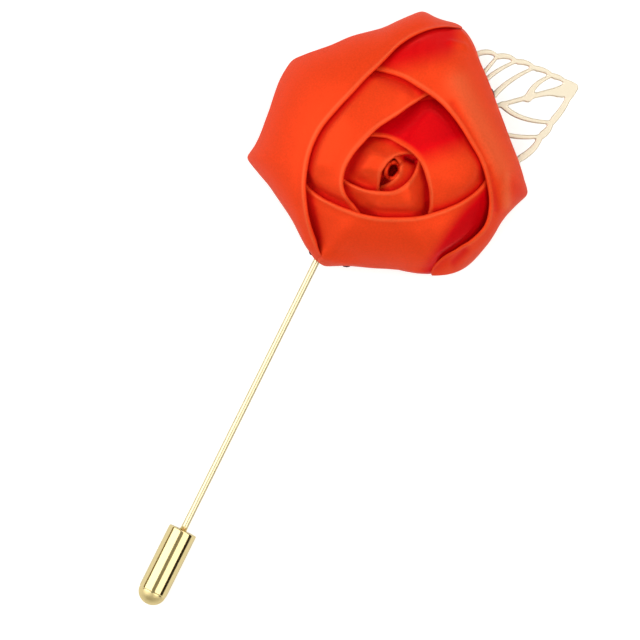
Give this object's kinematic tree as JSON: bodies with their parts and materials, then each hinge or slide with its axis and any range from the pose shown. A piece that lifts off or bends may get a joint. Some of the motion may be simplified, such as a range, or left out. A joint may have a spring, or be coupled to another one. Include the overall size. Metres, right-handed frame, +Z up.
{
  "type": "flower lapel pin",
  "caption": "Lapel pin with a folded satin rose on a felt disc, a pierced metal leaf behind it, and a straight pin whose point goes into a push-on cap.",
  "frame": {"origin": "centre of the whole part's outline on the table it lies on", "axes": "+Z up from the table, -Y along the pin from the flower to the cap, +X to the right seen from above"},
  "size_m": [0.0433, 0.1052, 0.0167],
  "materials": {
    "satin": "satin weave, soft sheen",
    "felt": "matt felt",
    "leaf_metal": "pale gold plate, satin",
    "pin_metal": "pale gold plate, polished",
    "cap_metal": "gold plate, polished"
  },
  "bodies": {
    "flower": {"bud": "satin", "petal_1": "satin", "petal_2": "satin", "petal_3": "satin", "petal_4": "satin", "petal_5": "satin", "petal_6": "satin", "petal_7": "satin", "petal_8": "satin", "leaf": "leaf_metal", "backing": "felt", "stick_pin": "pin_metal"},
    "cap": {"pin_cap": "cap_metal"}
  },
  "joints": [
    {"name": "cap_slide", "type": "slide", "parent": "flower", "child": "cap", "axis": [0, -1, 0], "range_m": [0, 0.02]}
  ]
}
